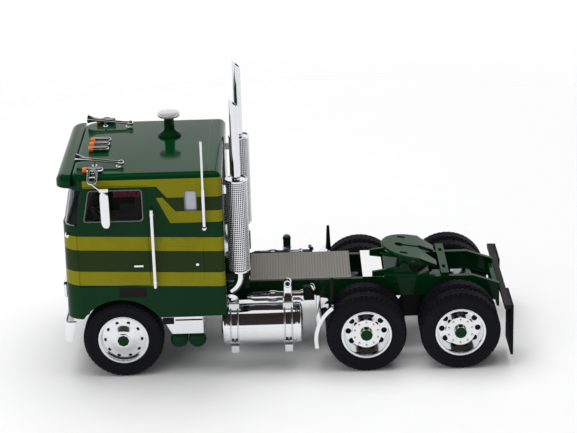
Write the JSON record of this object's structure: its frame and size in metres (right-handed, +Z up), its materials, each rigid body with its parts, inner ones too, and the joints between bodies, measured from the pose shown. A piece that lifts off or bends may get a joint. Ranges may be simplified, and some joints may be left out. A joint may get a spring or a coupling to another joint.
{
  "type": "semi truck tractor unit scale model",
  "caption": "Display model of a cab-over semi truck tractor unit in green with olive bands, with sleeper cab, tall exhaust stacks, fuel tanks, fifth wheel and twin drive axles",
  "frame": {"origin": "on the ground, midway between the bumper's front and the mudflaps' rear, on the centre line", "axes": "+X forward, +Y to the truck's left, +Z up"},
  "size_m": [0.143, 0.0658, 0.0904],
  "materials": {
    "green_paint": "gloss dark green enamel with olive gold bands",
    "green_plastic": "gloss dark green",
    "chrome": "bright plated plastic",
    "stainless": "satin silver",
    "wheel_silver": "bright silver, green hub",
    "tyre": "matt black with circumferential ribs",
    "steel": "plain turned rod",
    "black_plastic": "satin black",
    "grey_plastic": "matt grey",
    "tread_plate": "fine chequer tread, grey brown",
    "bright_panel": "polished",
    "curtain": "burgundy",
    "glass": "clear",
    "amber": "translucent amber",
    "flap": "satin black"
  },
  "bodies": {
    "chassis": {"cab_shell": "green_paint", "roof_visor": "green_paint", "windscreen": "glass", "side_windows": "glass", "sleeper_windows": "glass", "cab_interior": "grey_plastic", "seats": "grey_plastic", "steering_wheel": "black_plastic", "sleeper_curtain": "curtain", "roof_vent_neck": "green_plastic", "roof_vent_cap": "chrome", "air_horns": "chrome", "marker_light_bodies": "chrome", "marker_light_lenses": "amber", "mirror_left": "chrome", "mirror_right": "chrome", "cab_latches": "chrome", "corner_lamps": "chrome", "grab_handles": "chrome", "side_rod": "chrome", "front_bumper": "chrome", "grille": "chrome", "headlight_bezels": "chrome", "headlight_lenses": "glass", "stack_left": "chrome", "stack_right": "chrome", "stack_guard_left": "chrome", "stack_guard_right": "chrome", "deck_plate": "tread_plate", "bright_plate": "bright_panel", "chassis_frame": "green_paint", "engine_and_gearbox": "black_plastic", "driveshaft": "black_plastic", "front_axle_beam": "black_plastic", "drive_axle_carrier": "black_plastic", "fuel_tank_left": "chrome", "fuel_tank_right": "chrome", "tank_straps": "stainless", "upper_pipes": "chrome", "battery_boxes": "chrome", "air_tanks": "green_plastic", "quarter_fenders": "chrome", "fifth_wheel_base": "green_plastic", "mudflap_hanger": "black_plastic", "mudflaps": "flap"},
    "front_axle": {"front_axle_rod": "steel", "front_wheels": "wheel_silver", "front_tyres": "tyre"},
    "drive_axle_1": {"drive_1_axle_rod": "steel", "drive_1_wheels": "wheel_silver", "drive_1_tyres": "tyre"},
    "drive_axle_2": {"drive_2_axle_rod": "steel", "drive_2_wheels": "wheel_silver", "drive_2_tyres": "tyre"},
    "fifth_wheel": {"fifth_wheel_plate": "green_plastic"}
  },
  "joints": [
    {"name": "front_axle_roll", "type": "hinge", "parent": "chassis", "child": "front_axle", "pos_m": [0.05305, 0, 0.01285], "axis": [0, 1, 0], "continuous": true},
    {"name": "drive_axle_1_roll", "type": "hinge", "parent": "chassis", "child": "drive_axle_1", "pos_m": [-0.02455, 0, 0.01285], "axis": [0, 1, 0], "continuous": true},
    {"name": "drive_axle_2_roll", "type": "hinge", "parent": "chassis", "child": "drive_axle_2", "pos_m": [-0.05455, 0, 0.01285], "axis": [0, 1, 0], "continuous": true},
    {"name": "fifth_wheel_tilt", "type": "hinge", "parent": "chassis", "child": "fifth_wheel", "pos_m": [-0.03795, 0, 0.0284], "axis": [0, 1, 0], "range_deg": [0, 20]}
  ]
}
